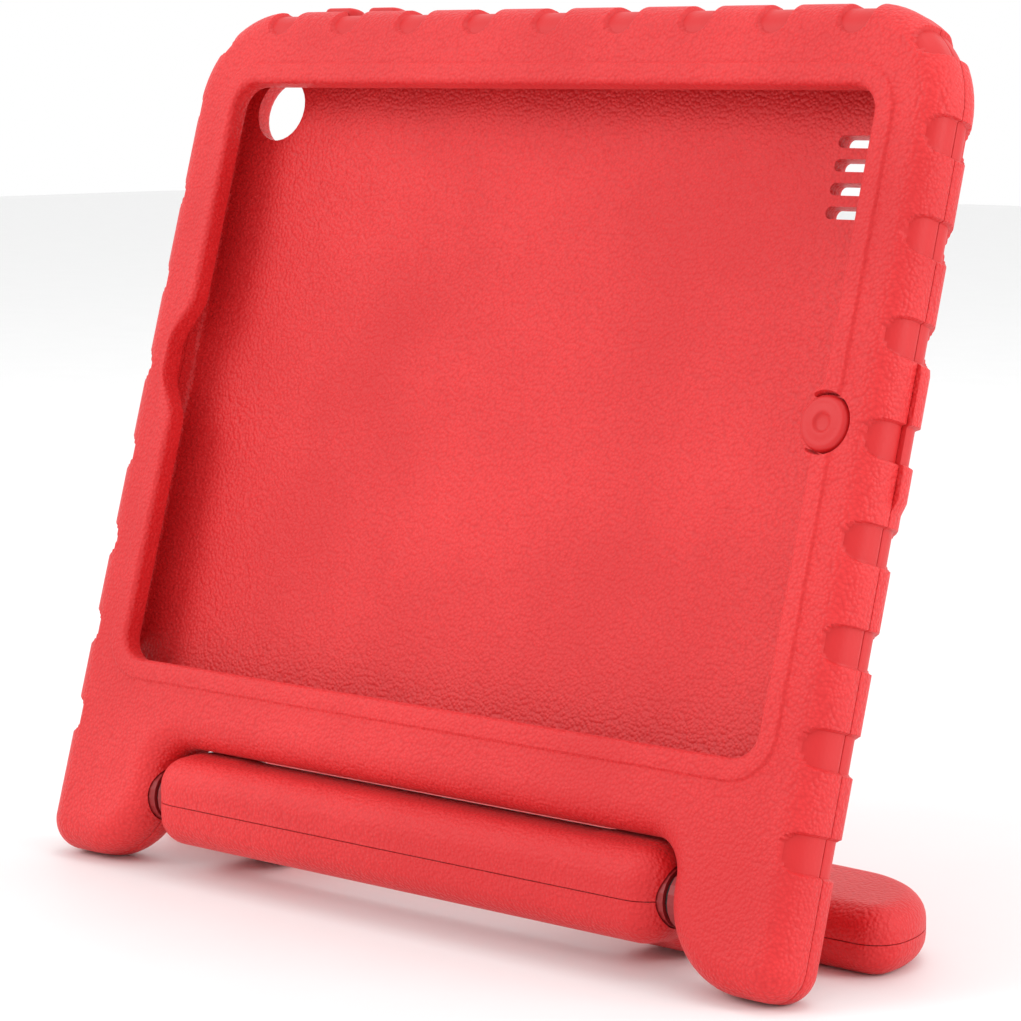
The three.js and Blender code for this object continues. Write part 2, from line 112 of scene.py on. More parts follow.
class Surface:
    """Vertices and faces gathered in one local frame, with one soft value a vertex that smooths the grain
    and paints shade on the tread floors.
    """

    def __init__(self):
        self.points = []
        self.plain = []
        self.faces = []

    def ring(self, xyz, plain=None):
        start = len(self.points)
        self.points.extend(map(tuple, np.asarray(xyz, float)))
        self.plain.extend(np.zeros(len(xyz)) if plain is None else plain)
        return list(range(start, start + len(xyz)))

    def bridge(self, a, b):
        """Quads between two closed rings of equal count. They face out if a is anticlockwise, under b."""
        n = len(a)
        for i in range(n):
            j = (i + 1) % n
            self.faces.append((a[i], a[j], b[j], b[i]))

    def fill(self, outer, inner=None, up=True):
        """Triangles over a flat region between an outer ring and an inner one."""
        rings = [outer] + ([inner] if inner else [])
        ids = [i for r in rings for i in r]
        flat = [Vector(self.points[i][:2]) for i in ids]
        edges = []
        base = 0
        for r in rings:
            edges += [(base + k, base + (k + 1) % len(r)) for k in range(len(r))]
            base += len(r)
        _, _, tris, origin, _, _ = delaunay_2d_cdt(flat, edges, [], 1, 1e-6)
        middles = np.array([np.mean([flat[origin[v][0]] for v in t], axis=0) for t in tris])
        good = inside(np.array([self.points[i][:2] for i in outer]), middles)
        if inner:
            good &= ~inside(np.array([self.points[i][:2] for i in inner]), middles)
        for t, ok in zip(tris, good):
            if not ok:
                continue
            a, b, c = (ids[origin[v][0]] for v in t)
            pa, pb, pc = (np.array(self.points[k][:2]) for k in (a, b, c))
            turn = np.cross(pb - pa, pc - pa)
            self.faces.append((a, b, c) if (turn > 0) == up else (a, c, b))


def inside(polygon, points):
    """Which points are inside a closed polygon."""
    x, y = points[:, 0], points[:, 1]
    found = np.zeros(len(points), bool)
    nxt = np.roll(polygon, -1, axis=0)
    for (x0, y0), (x1, y1) in zip(polygon, nxt):
        if y0 == y1:
            continue
        crosses = (y0 > y) != (y1 > y)
        found ^= crosses & (x < (x1 - x0) * (y - y0) / (y1 - y0) + x0)
    return found


def to_object(name, surface, matrix):
    mesh = bpy.data.meshes.new(name)
    mesh.from_pydata([matrix @ Vector(p) for p in surface.points], [], surface.faces)
    layer = mesh.attributes.new("plain", "FLOAT", "POINT")
    layer.data.foreach_set("value", np.array(surface.plain, np.float32))
    mesh.update()
    made = bpy.data.objects.new(name, mesh)
    bpy.context.scene.collection.objects.link(made)
    return made


def soften(obj, angle=58):
    """Smooth shading, with edges sharper than the angle kept crisp."""
    bm = bmesh.new()
    bm.from_mesh(obj.data)
    for face in bm.faces:
        face.smooth = True
    for edge in bm.edges:
        edge.smooth = len(edge.link_faces) != 2 or edge.calc_face_angle(0) < math.radians(angle)
    bm.to_mesh(obj.data)
    bm.free()
    obj.data.update()
    return obj


def face_out(obj):
    bm = bmesh.new()
    bm.from_mesh(obj.data)
    bmesh.ops.recalc_face_normals(bm, faces=bm.faces)
    bm.to_mesh(obj.data)
    bm.free()
    return obj


def boolean(obj, other, operation):
    step = obj.modifiers.new("cut", "BOOLEAN")
    step.object = other
    step.operation = operation
    step.solver = "MANIFOLD"
    graph = bpy.context.evaluated_depsgraph_get()
    mesh = bpy.data.meshes.new_from_object(obj.evaluated_get(graph), depsgraph=graph)
    obj.modifiers.clear()
    old = obj.data
    obj.data = mesh
    bpy.data.meshes.remove(old)
    return obj


def drop(obj):
    mesh = obj.data
    bpy.data.objects.remove(obj)
    bpy.data.meshes.remove(mesh)


# ---- outlines -------------------------------------------------------------------------------
def arc(cx, cy, radius, start, end):
    return {"c": (cx, cy), "r": radius, "a": (start, end), "length": radius * abs(end - start)}


def line(p, q):
    return {"p": p, "q": q, "length": math.dist(p, q)}


def ends(part):
    if "p" in part:
        return part["p"], part["q"]
    (cx, cy), r = part["c"], part["r"]
    return tuple((cx + r * math.cos(a), cy + r * math.sin(a)) for a in part["a"])


def joined(arcs):
    """A closed, anticlockwise outline of arcs with straight lines between them."""
    parts = []
    for k, one in enumerate(arcs):
        parts.append(one)
        p, q = ends(one)[1], ends(arcs[(k + 1) % len(arcs)])[0]
        if math.dist(p, q) > 1e-6:
            parts.append(line(p, q))
    return parts


def case_outline():
    q = QUARTER
    s, t, b = SIDE, TOP, FOOT_BOTTOM
    n, m, c = NOTCH_SIDE, NOTCH_TOP, NOTCH_CORNER
    return joined([
        arc(s - TOP_CORNER, t - TOP_CORNER, TOP_CORNER, 0, q),
        arc(TOP_CORNER - s, t - TOP_CORNER, TOP_CORNER, q, 2 * q),
        arc(FOOT_OUTER - s, b + FOOT_OUTER, FOOT_OUTER, 2 * q, 3 * q),
        arc(-n - FOOT_INNER, b + FOOT_INNER, FOOT_INNER, 3 * q, 4 * q),
        arc(c - n, m - c, c, 2 * q, q),
        arc(n - c, m - c, c, q, 0),
        arc(n + FOOT_INNER, b + FOOT_INNER, FOOT_INNER, 2 * q, 3 * q),
        arc(s - FOOT_OUTER, b + FOOT_OUTER, FOOT_OUTER, 3 * q, 4 * q),
    ])


def rounded_rectangle(half_x, half_y, corner):
    q = QUARTER
    x, y = half_x - corner, half_y - corner
    return joined([
        arc(x, y, corner, 0, q),
        arc(-x, y, corner, q, 2 * q),
        arc(-x, -y, corner, 2 * q, 3 * q),
        arc(x, -y, corner, 3 * q, 4 * q),
    ])


def at_station(parts, u):
    """Point and outward normal at a distance along the outline."""
    for part in parts:
        if u <= part["length"] + 1e-9:
            break
        u -= part["length"]
    share = min(1.0, u / part["length"])
    if "p" in part:
        (x0, y0), (x1, y1) = part["p"], part["q"]
        dx, dy = (x1 - x0) / part["length"], (y1 - y0) / part["length"]
        return x0 + (x1 - x0) * share, y0 + (y1 - y0) * share, dy, -dx
    start, end = part["a"]
    turn = start + (end - start) * share
    side = 1 if end > start else -1
    (cx, cy), r = part["c"], part["r"]
    c, s = math.cos(turn), math.sin(turn)
    return cx + r * c, cy + r * s, side * c, side * s


def sampled(parts, straight_step, arc_degrees, fine=()):
    """Columns round an outline: x, y and the outward normal, closer together where it is fine."""
    total = sum(p["length"] for p in parts)
    spans = []
    u = 0
    for p in parts:
        step = straight_step if "p" in p else max(0.3, p["r"] * math.radians(arc_degrees))
        spans.append((u, u + p["length"], step))
        u += p["length"]
    stations = []
    u = 0.0
    while u < total - 0.2:
        stations.append(u)
        step = next(s for a, b, s in spans if a <= u + 1e-6 < b + 1e-6)
        upcoming = [a for a, b, _ in spans if a > u + 1e-6]
        if upcoming:
            step = min(step, max(0.25, min(upcoming) - u))
        for centre, half in fine:
            if centre - half <= u < centre + half:
                step = FINE_STEP
            elif u < centre - half < u + step:
                step = max(0.1, centre - half - u)
        u += step
    return np.array([at_station(parts, s) for s in stations])


def nearest_station(parts, x, y):
    total = sum(p["length"] for p in parts)
    tries = np.arange(0, total, 0.25)
    points = np.array([at_station(parts, u)[:2] for u in tries])
    return tries[np.argmin(np.hypot(points[:, 0] - x, points[:, 1] - y))]


def smooth_step(low, high, value):
    t = np.clip((value - low) / (high - low), 0, 1)
    return t * t * (3 - 2 * t)


# ---- treads ---------------------------------------------------------------------------------
# Each row: first centre, pitch, count, and how far its D-shaped ends reach in at each end of the row.
RIGHT_ROW = {"first": 71.6, "pitch": 24.7, "count": 8, "reach": (3.9, 6.9)}
LEFT_ROW = {"first": 75.0, "pitch": 25.0, "count": 8, "reach": (3.9, 6.9)}
TOP_ROW = {"first": -98.6, "pitch": 24.65, "count": 9, "reach": (8.4, 9.4)}
CORNER_TURN = math.radians(42)
CORNER_REACH = 4.6


def row_reach(row, k):
    low, high = row["reach"]
    return low + (high - low) * k / (row["count"] - 1)


def treads():
    """Centre on the outline, outward direction and reach of every tread."""
    found = []
    for k in range(RIGHT_ROW["count"]):
        y = RIGHT_ROW["first"] - k * RIGHT_ROW["pitch"]
        found.append((SIDE, y, 0.0, row_reach(RIGHT_ROW, k)))
    for k in range(LEFT_ROW["count"]):
        y = LEFT_ROW["first"] - k * LEFT_ROW["pitch"]
        found.append((-SIDE, y, math.pi, row_reach(LEFT_ROW, k)))
    for k in range(TOP_ROW["count"]):
        x = TOP_ROW["first"] + k * TOP_ROW["pitch"]
        found.append((x, TOP, math.pi / 2, row_reach(TOP_ROW, k)))
    for turn in (CORNER_TURN, math.pi - CORNER_TURN):
        cx = math.copysign(SIDE - TOP_CORNER, math.cos(turn))
        found.append((
            cx + TOP_CORNER * math.cos(turn),
            TOP - TOP_CORNER + TOP_CORNER * math.sin(turn),
            turn,
            CORNER_REACH,
        ))
    return found


TREADS = treads()


def tread_depth(x, y):
    """0 on the plain rim to 1 on a tread's floor, at points of the case's plane."""
    best = np.zeros(len(x))
    for cx, cy, turn, reach in TREADS:
        ex, ey = math.cos(turn), math.sin(turn)
        along = (x - cx) * -ey + (y - cy) * ex
        inward = -((x - cx) * ex + (y - cy) * ey)
        past = np.maximum(inward - (reach - TREAD_HALF), 0)
        distance = TREAD_HALF - np.hypot(past, along)
        best = np.maximum(best, smooth_step(-TREAD_SOFT, TREAD_SOFT, distance))
    return best


# ---- case shells ----------------------------------------------------------------------------
FILLET_STEPS = 13
FLANGE_INSET = 2.2
REACH_MAX = 10.2
DOCK = {"top": 17.3, "foot": -18.2, "proud": 1.3, "edge": 0.9, "inset": 2.0}


def rim_rows(seam_z, face_z, ways):
    """(inset, z, normal out, normal along z) from the seam, up the wall, round the edge, onto the face.

    ways is 1 towards the screen and -1 towards the back."""
    rows = [
        (FLANGE_INSET, seam_z, 1, 0),
        (0.45, seam_z, 1, 0),
        (0.14, seam_z + 0.07 * ways, 1, 0),
        (0.0, seam_z + 0.3 * ways, 1, 0),
    ]
    wall_end = face_z - ROUND * ways
    rows.append((0.0, (seam_z + wall_end) / 2, 1, 0))
    for k in range(FILLET_STEPS + 1):
        turn = QUARTER * k / FILLET_STEPS
        c, s = math.cos(turn), math.sin(turn)
        rows.append((ROUND * (1 - c), wall_end + ROUND * s * ways, c, s * ways))
    inset = ROUND
    while inset < REACH_MAX - 0.3:
        inset += FINE_STEP
        rows.append((inset, face_z, 0, ways))
    return rows


def squeeze(columns):
    """How much of their reach past the rounded edge each column's flat rows keep.

    It is a tenth round the tight outer corners of the feet, and half along the two sides."""
    x, y = np.abs(columns[:, 0]), columns[:, 1]
    near_foot = smooth_step(-FOOT_BOTTOM - 26, -FOOT_BOTTOM - 12, -y)
    outer_side = smooth_step(SIDE - 26, SIDE - 14, x)
    beside = smooth_step(0.5, 0.95, np.abs(columns[:, 2])) * (x > SIDE - 12)
    return 1 - np.maximum(0.9 * near_foot * outer_side, 0.5 * beside)


def dock_block(columns):
    """How far the smooth block over the dock port stands out of the right wall."""
    y, nx = columns[:, 1], columns[:, 2]
    top = smooth_step(0, DOCK["edge"], DOCK["top"] - y)
    foot = smooth_step(0, DOCK["edge"], y - DOCK["foot"])
    return DOCK["proud"] * (nx > 0.99) * top * foot


def rim(surface, columns, seam_z, face_z, ways):
    """The outer skin of one shell. Returns its flange ring and its face ring."""
    x, y, nx, ny = columns.T
    block = dock_block(columns) if ways < 0 else np.zeros(len(columns))
    room = squeeze(columns)
    rings = []
    for inset, z, out, along in rim_rows(seam_z, face_z, ways):
        reach = np.where(inset > ROUND, ROUND + (inset - ROUND) * room, inset)
        px, py = x - nx * reach, y - ny * reach
        depth = np.zeros(len(px)) if inset == FLANGE_INSET else tread_depth(px, py)
        sunk = depth * TREAD_DEPTH
        lift = block * out * (inset < DOCK["inset"])
        px, py = px - nx * (out * sunk - lift), py - ny * out * sunk
        pz = np.full(len(px), z) - along * sunk
        rings.append(surface.ring(np.stack([px, py, pz], 1), depth))
    for a, b in zip(rings, rings[1:]):
        surface.bridge(a, b) if ways > 0 else surface.bridge(b, a)
    return rings[0], rings[-1]


def lens_bay(y, depth, half, ease):
    """How far a soft bay beside the front camera bulges out to the left."""
    away = np.abs(y - BAY_Y)
    return depth * (1 - smooth_step(half - ease / 2, half + ease, away))


def lip_columns():
    """The window's edge and the raised band's outer edge, column by column."""
    parts = rounded_rectangle(LIP_X, LIP_Y, LIP_CORNER)
    columns = sampled(parts, 1.6, 6)
    x, y, nx, ny = columns.T
    left = (nx < -0.99)
    right = (nx > 0.99)
    edge_x = x - np.where(left, lens_bay(y, 6.3, 8.5, 9.5), 0)
    from_home = np.abs(y - HOME_Y)
    flare = 2.9 * np.exp(-(((from_home - HOME_R + 0.2) / 1.7) ** 2))
    edge_x = edge_x - np.where(right, flare, 0)
    band_x = x + nx * BAND - np.where(left, lens_bay(y, 2.4, 6, 13), 0)
    edge = np.stack([edge_x, y], 1)
    band = np.stack([band_x, y + ny * BAND], 1)
    return edge, band


def lip(surface):
    """The window's wall, its rounded edge and the raised band. Returns its pocket ring and face ring."""
    edge, band = lip_columns()
    wall_top = BAND_TOP - LIP_EDGE
    rows = [(0.9, POCKET_CEILING), (0.25, POCKET_CEILING), (0.06, 0.4)]
    rows += [(0.0, 0.8), (0.0, 2.6), (0.0, wall_top)]
    for k in range(1, 8):
        turn = QUARTER * k / 7
        rows.append((LIP_EDGE * (1 - math.cos(turn)), wall_top + LIP_EDGE * math.sin(turn)))
    rows.append((3.4, BAND_TOP))
    for k in range(9):
        t = k / 8
        e = BAND_STEP[0] + (BAND_STEP[1] - BAND_STEP[0]) * t
        rows.append((e, BAND_TOP + (FRONT - BAND_TOP) * float(smooth_step(0, 1, t))))
    rows.append((BAND, FRONT))
    rings = []
    for e, z in rows:
        xy = edge + (band - edge) * (e / BAND)
        rings.append(surface.ring(np.column_stack([xy, np.full(len(xy), z)])))
    for a, b in zip(rings, rings[1:]):
        surface.bridge(b, a)
    return rings[0], rings[-1]


def pocket_wall(surface, rows):
    """Rings down the pocket's wall; rows are (inset, z)."""
    columns = sampled(rounded_rectangle(POCKET_X, POCKET_Y, POCKET_CORNER), 6, 9)
    x, y, nx, ny = columns.T
    return [
        surface.ring(np.stack([x - nx * d, y - ny * d, np.full(len(x), z)], 1)) for d, z in rows
    ]


def rim_columns():
    parts = case_outline()
    half = TREAD_HALF + 0.8
    fine = [(nearest_station(parts, x, y), half) for x, y, _, _ in TREADS]
    return sampled(parts, 3.0, 5, fine)


def front_shell(columns):
    made = Surface()
    seam_z = SEAM + HALF_SEAM
    flange, face = rim(made, columns, seam_z, FRONT, 1)
    under, band = lip(made)
    made.fill(face, band, up=True)
    low, high = pocket_wall(made, [(0, seam_z), (0, POCKET_CEILING)])
    made.bridge(high, low)
    made.fill(high, under, up=False)
    made.fill(flange, low, up=False)
    return to_object("front_foam_shell", made, CASE)


def rear_shell(columns):
    made = Surface()
    seam_z = SEAM - HALF_SEAM
    flange, face = rim(made, columns, seam_z, BACK, -1)
    made.fill(face, up=False)
    corner = 1.5
    rows = [(0, seam_z), (0, POCKET_FLOOR + corner)]
    for k in range(1, 6):
        turn = QUARTER * k / 5
        rows.append((corner * (1 - math.cos(turn)), POCKET_FLOOR + corner * (1 - math.sin(turn))))
    rings = pocket_wall(made, rows)
    for a, b in zip(rings, rings[1:]):
        made.bridge(a, b)
    made.fill(rings[-1], up=True)
    made.fill(flange, rings[0], up=True)
    return to_object("rear_foam_shell", made, CASE)


# ---- cutters --------------------------------------------------------------------------------
def stack(surface, rings, flip=False):
    """A closed solid of rings of equal count, with flat ends."""
    made = [surface.ring(r) for r in rings]
    for a, b in zip(made, made[1:]):
        surface.bridge(*((b, a) if flip else (a, b)))
    first, last = made[0], made[-1]
    surface.faces.append(tuple(last) if not flip else tuple(reversed(last)))
    surface.faces.append(tuple(reversed(first)) if not flip else tuple(first))


def stadium(length, width, corner, step=12):
    return sampled(rounded_rectangle(length / 2, width / 2, corner), 50, step)


def flared_plug(length, width, corner, depth, flare, proud):
    """Rings of a slot that runs in by depth from a surface at 0, and opens by flare at its mouth."""
    x, y, nx, ny = stadium(length, width, corner).T
    rows = [(0, -depth), (0, -1.5 * flare), (0.35 * flare, -0.55 * flare), (flare, 0), (flare, proud)]
    return [np.stack([x + nx * d, y + ny * d, np.full(len(x), h)], 1) for d, h in rows]


def turned_rings(profile, sides=40):
    """Rings about the local z axis; profile is (radius, z)."""
    turns = np.arange(sides) * 2 * math.pi / sides
    return [
        np.stack([r * np.cos(turns), r * np.sin(turns), np.full(sides, z)], 1) for r, z in profile
    ]


def moved(rings, x_axis, y_axis, z_axis, origin):
    turn = np.array([x_axis, y_axis, z_axis], float)
    return [r @ turn + np.array(origin, float) for r in rings]


PAD_GAP = 0.55
POWER = {"y": 68.0, "z": -4.4, "length": 17.0, "width": 6.4, "proud": 1.2}
VOLUME = {"x": (-83.2, -66.6), "z": -4.4, "length": 12.5, "width": 6.4, "proud": 1.2}
MUTE = {"x": -98.6, "z": -4.8, "length": 11.0, "width": 7.2}
JACK = {"y": -79.5, "z": -5.2, "radius": 4.2}
LENS = {"x": -106.5, "y": 78.5, "radius": 9.0}
SPEAKER = {"x": 103.0, "y": 72.0, "length": 26.0, "width": 3.2, "rows": 4, "pitch": 6.0}
BACK_HOLE_DEPTH = 8.5
PAST_WALL = 1.5

# Pockets for the flanges, bushes and pins of the hinge: (radius, distance from the middle of the case).
HINGE_POCKET = [(7.7, 88.0), (7.7, 93.3), (5.9, 93.4), (5.9, 104.3), (3.3, 104.4), (3.3, 106.3)]
HUB_POCKET = [(3.3, 72.7), (3.3, 74.4), (5.9, 74.5), (5.9, 85.2), (7.7, 85.3), (7.7, 90.0)]


def wall_slot(surface, length, width, wall, axes, place):
    """A slot right through a wall, with a flared mouth at place on its outer face."""
    rings = flared_plug(length, width, width / 2 - 0.3, wall + PAST_WALL, 0.45, 3)
    stack(surface, moved(rings, *axes, place), True)


def left_slot(surface, spec, length, width):
    wall_slot(surface, length, width, SIDE - POCKET_X, FACING_LEFT, (-SIDE, spec["y"], spec["z"]))


def top_slot(surface, x, z, length, width):
    wall_slot(surface, length, width, TOP - POCKET_Y, FACING_TOP, (x, TOP, z))


def hinge_plugs(surface, profile, y, z):
    """The same turned plug at both ends of the hinge, mirrored."""
    for sign in (1, -1):
        rings = turned_rings(profile, 48)
        stack(surface, moved(rings, (0, 0, -sign), (0, 1, 0), (sign, 0, 0), (0, y, z)))


def shell_cutters():
    """Every hole in the two shells, as closed plugs that don't touch each other."""
    made = Surface()
    grow = 2 * PAD_GAP
    left_slot(made, POWER, POWER["length"] + grow, POWER["width"] + grow)
    for x in VOLUME["x"]:
        top_slot(made, x, VOLUME["z"], VOLUME["length"] + grow, VOLUME["width"] + grow)
    top_slot(made, MUTE["x"], MUTE["z"], MUTE["length"], MUTE["width"])
    across = 2 * JACK["radius"]
    left_slot(made, JACK, across, across - 0.01)
    r = HOME_R + 0.5
    home = [(r, POCKET_CEILING - 1), (r, 4.6), (r + 0.25, 5.5), (r + 1, 8)]
    stack(made, moved(turned_rings(home, 64), *FACING_SCREEN, (HOME_X, HOME_Y, 0)))
    across = 2 * LENS["radius"]
    lens = flared_plug(across, across - 0.01, LENS["radius"] - 0.1, BACK_HOLE_DEPTH, 0.9, 3)
    stack(made, moved(lens, *FACING_BACK, (LENS["x"], LENS["y"], BACK)))
    length, width = SPEAKER["length"], SPEAKER["width"]
    slot = flared_plug(length, width, width / 2 - 0.05, BACK_HOLE_DEPTH, 0.4, 3)
    for k in range(SPEAKER["rows"]):
        at = (SPEAKER["x"], SPEAKER["y"] - k * SPEAKER["pitch"], BACK)
        stack(made, moved(slot, *FACING_BACK, at))
    hinge_plugs(made, HINGE_POCKET, PIVOT_Y, PIVOT_Z)
    return to_object("plugs", made, CASE)


def trim_to_floor(obj):
    for v in obj.data.vertices:
        v.co.z = max(v.co.z, 0.0)


# ---- handle, as one blended field, cut into its two halves -----------------------------------
BAR = {"half": 88.6, "front": -11.2, "back": 12.0, "thick": 12.0, "round": 8.0}
LOOP_HEIGHT, LOOP_ROUND = 17.4, 7.0
LOOP = {"half": 128.4, "front": 27.0, "back": 69.0, "bow": 2.5, "rear": 31.0, "corner": 8.0}
GRIP = {"half": 62.0, "back": 46.0, "corner": 11.0}
NECK_OUTER = 82.0
NECK_ROUND = 3.0
HANDLE_CELL = 1.0
HANDLE_BLEND = 3.0
SEAM_GAP = 0.13
LOOP_BOTTOM = -HINGE.z / MM
LOOP_TOP = LOOP_BOTTOM + LOOP_HEIGHT
LOOP_MIDDLE = (LOOP_BOTTOM + LOOP_TOP) / 2


def polygon_distance(polygon, px, py):
    """Signed distance to a closed polygon, negative inside, over flat arrays."""
    points = np.stack([px.ravel(), py.ravel()], 1)
    best = np.full(len(points), 1e9)
    for a, b in zip(polygon, np.roll(polygon, -1, axis=0)):
        ab = b - a
        t = np.clip(((points - a) @ ab) / (ab @ ab), 0, 1)
        best = np.minimum(best, np.hypot(*(points - a - t[:, None] * ab).T))
    return np.where(inside(polygon, points), -best, best).reshape(px.shape)


def turned_arc(cx, cy, r, start, end, steps=10):
    turns = np.linspace(start, end, steps)
    return [(cx + r * math.cos(t), cy + r * math.sin(t)) for t in turns]


def loop_polygon():
    h, f, b, bow, rear, corner = (LOOP[k] for k in ("half", "front", "back", "bow", "rear", "corner"))
    q = QUARTER
    points = turned_arc(h - corner, f + corner, corner, -q, 0)
    points += turned_arc(h - rear, b - bow - rear, rear, 0, q, 16)
    for x in np.linspace(h - rear - 6, rear + 6 - h, 21):
        points.append((x, b - bow + bow * (1 - (x / (h - rear)) ** 2)))
    points += turned_arc(rear - h, b - bow - rear, rear, q, 2 * q, 16)
    points += turned_arc(corner - h, f + corner, corner, 2 * q, 3 * q)
    g, gb, gc = GRIP["half"], GRIP["back"], GRIP["corner"]
    points.append((-g, f))
    points += turned_arc(gc - g, gb - gc, gc, 2 * q, q)
    points += turned_arc(g - gc, gb - gc, gc, q, 0)
    points.append((g, f))
    return np.array(points)


def neck_polygon():
    f = LOOP["front"]
    high, low = LOOP_TOP, LOOP_BOTTOM
    top = [(f + 8, high - 0.5), (f - 1, high), (f - 6, high + 3.6), (14, 8), (9.2, 10.6), (0, 11.3)]
    bottom = [(0, -11.5), (6, -13.4), (14, low + 2), (f - 4, low + 0.2), (f + 8, low + 0.5)]
    return np.array(top + bottom)


def rounded(flat, height, half, r):
    """A flat shape's distance, extruded to +-half about height 0, with its edges rounded by r."""
    side, tall = flat + r, np.abs(height) - half + r
    outside = np.hypot(np.maximum(side, 0), np.maximum(tall, 0))
    return np.minimum(np.maximum(side, tall), 0) + outside - r


def blend_min(a, b, k):
    h = np.maximum(k - np.abs(a - b), 0) / k
    return np.minimum(a, b) - h * h * k / 4


def handle_field():
    xs = np.arange(-134, 134.01, HANDLE_CELL)
    ss = np.arange(-15, 77.01, HANDLE_CELL)
    hs = np.arange(LOOP_BOTTOM - 4, 16.01, HANDLE_CELL)
    x2, s2 = np.meshgrid(xs, ss, indexing="ij")
    loop = rounded(
        polygon_distance(loop_polygon(), x2, s2)[:, :, None],
        hs[None, None, :] - LOOP_MIDDLE, LOOP_HEIGHT / 2, LOOP_ROUND,
    )
    s3, h3 = np.meshgrid(ss, hs, indexing="ij")
    neck_flat = polygon_distance(neck_polygon(), s3, h3)[None, :, :]
    middle, half = (GRIP["half"] + NECK_OUTER) / 2, (NECK_OUTER - GRIP["half"]) / 2
    neck = rounded(neck_flat, np.abs(xs)[:, None, None] - middle, half, NECK_ROUND)
    r = BAR["round"]
    mid_s, half_s = (BAR["front"] + BAR["back"]) / 2, (BAR["back"] - BAR["front"]) / 2
    corner = r + 1
    past_x = np.maximum(np.abs(x2) - BAR["half"] + corner, 0)
    past_s = np.maximum(np.abs(s2 - mid_s) - half_s + corner, 0)
    plan = np.hypot(past_x, past_s) - corner
    bar = rounded(plan[:, :, None], hs[None, None, :], BAR["thick"], r)
    whole = blend_min(blend_min(bar, neck, HANDLE_BLEND), loop, HANDLE_BLEND)
    return whole, (xs[0], ss[0], hs[0])


def field_object(name, field, start, cell, matrix):
    grid = openvdb.FloatGrid(6.0)
    grid.copyFromArray(field.astype(np.float64))
    points, triangles, quads = grid.convertToPolygons(isovalue=0.0, adaptivity=0.0)
    made = Surface()
    made.ring(np.asarray(points, float) * cell + np.array(start))
    made.faces = [tuple(int(i) for i in f) for f in list(quads) + list(triangles)]
    return face_out(to_object(name, made, matrix))


def seam_slab(above):
    """Everything above the handle's parting surface, or below it."""
    way = 1 if above else -1
    near, far = -40, 120
    path = [(near, 0), (7, 0), (LOOP["front"] - 3, LOOP_MIDDLE), (far, LOOP_MIDDLE)]
    edge = [(s, h + way * SEAM_GAP) for s, h in path] + [(far, way * 60.0), (near, way * 60.0)]
    made = Surface()
    rings = [np.array([(x, s, h) for s, h in edge]) for x in (-150.0, 150.0)]
    stack(made, rings, flip=not above)
    return to_object("slab", made, HANDLE)


def hub_cutters():
    made = Surface()
    hinge_plugs(made, HUB_POCKET, 0, 0)
    return to_object("hub_plugs", made, HANDLE)


def handle_halves():
    field, start = handle_field()
    whole = field_object("handle_whole", field, start, HANDLE_CELL, HANDLE)
    plugs = hub_cutters()
    halves = []
    for name, above in (("handle_upper_foam", True), ("handle_lower_foam", False)):
        half = bpy.data.objects.new(name, whole.data.copy())
        bpy.context.scene.collection.objects.link(half)
        slab = seam_slab(above)
        boolean(half, slab, "INTERSECT")
        boolean(half, plugs, "DIFFERENCE")
        drop(slab)
        trim_to_floor(half)
        halves.append(soften(half))
    drop(plugs)
    drop(whole)
    return halves


# ---- push pads ------------------------------------------------------------------------------
PAD_CREASE = 75
PAD_EDGE = 1.1


def all_plain(surface):
    surface.plain = [1.0] * len(surface.points)
    return surface


def home_pad():
    """A low dome with a raised rim line and a round dimple in the middle."""
    made = Surface()
    r = HOME_R
    profile = [
        (r - 0.8, 1.2), (r - 0.2, 1.4), (r, 2.0), (r, 4.3), (r - 0.12, 4.9), (r - 0.45, 5.4),
        (r - 0.95, 5.75), (r - 1.5, 5.85), (r - 2.0, 5.8), (r - 2.5, 5.82), (3.4, 5.95), (2.9, 6.0),
        (2.55, 5.95), (2.3, 5.7), (2.05, 5.45), (1.7, 5.35), (0.9, 5.3), (0.25, 5.3),
    ]
    stack(made, moved(turned_rings(profile, 72), *FACING_SCREEN, (HOME_X, HOME_Y, 0)))
    return soften(to_object("home_button_foam", all_plain(made), CASE), PAD_CREASE)


def wall_pad(name, spec, wall, axes, origin):
    """A pillow-faced plug through a wall, with a shallow dish in its face."""
    made = Surface()
    x, y, nx, ny = stadium(spec["length"], spec["width"], spec["width"] / 2 - 0.2, 9).T
    top = wall + spec["proud"]
    rows = [(0.8, 0), (0.2, 0.2), (0, 0.8), (0, top - PAD_EDGE)]
    for k in range(1, 7):
        turn = QUARTER * k / 6
        rows.append((PAD_EDGE * (1 - math.cos(turn)), top - PAD_EDGE + PAD_EDGE * math.sin(turn)))
    rows += [(1.8, top + 0.04), (2.3, top + 0.02), (2.55, top - 0.1), (2.8, top - 0.12)]
    rings = [np.stack([x - nx * d, y - ny * d, np.full(len(x), h)], 1) for d, h in rows]
    stack(made, moved(rings, *axes, origin))
    return soften(face_out(to_object(name, all_plain(made), CASE)), PAD_CREASE)


# ---- materials ------------------------------------------------------------------------------
def node(tree, kind, at, **values):
    made = tree.nodes.new(kind)
    made.location = at
    for key, value in values.items():
        if key in made.inputs.keys():
            made.inputs[key].default_value = value
        else:
            setattr(made, key, value)
    return made


def material(name, colour, roughness):
    made = bpy.data.materials.new(name)
    made.use_nodes = True
    tree = made.node_tree
    shader = tree.nodes["Principled BSDF"]
    shader.inputs["Base Color"].default_value = (*colour, 1)
    shader.inputs["Roughness"].default_value = roughness
    return made, tree, shader


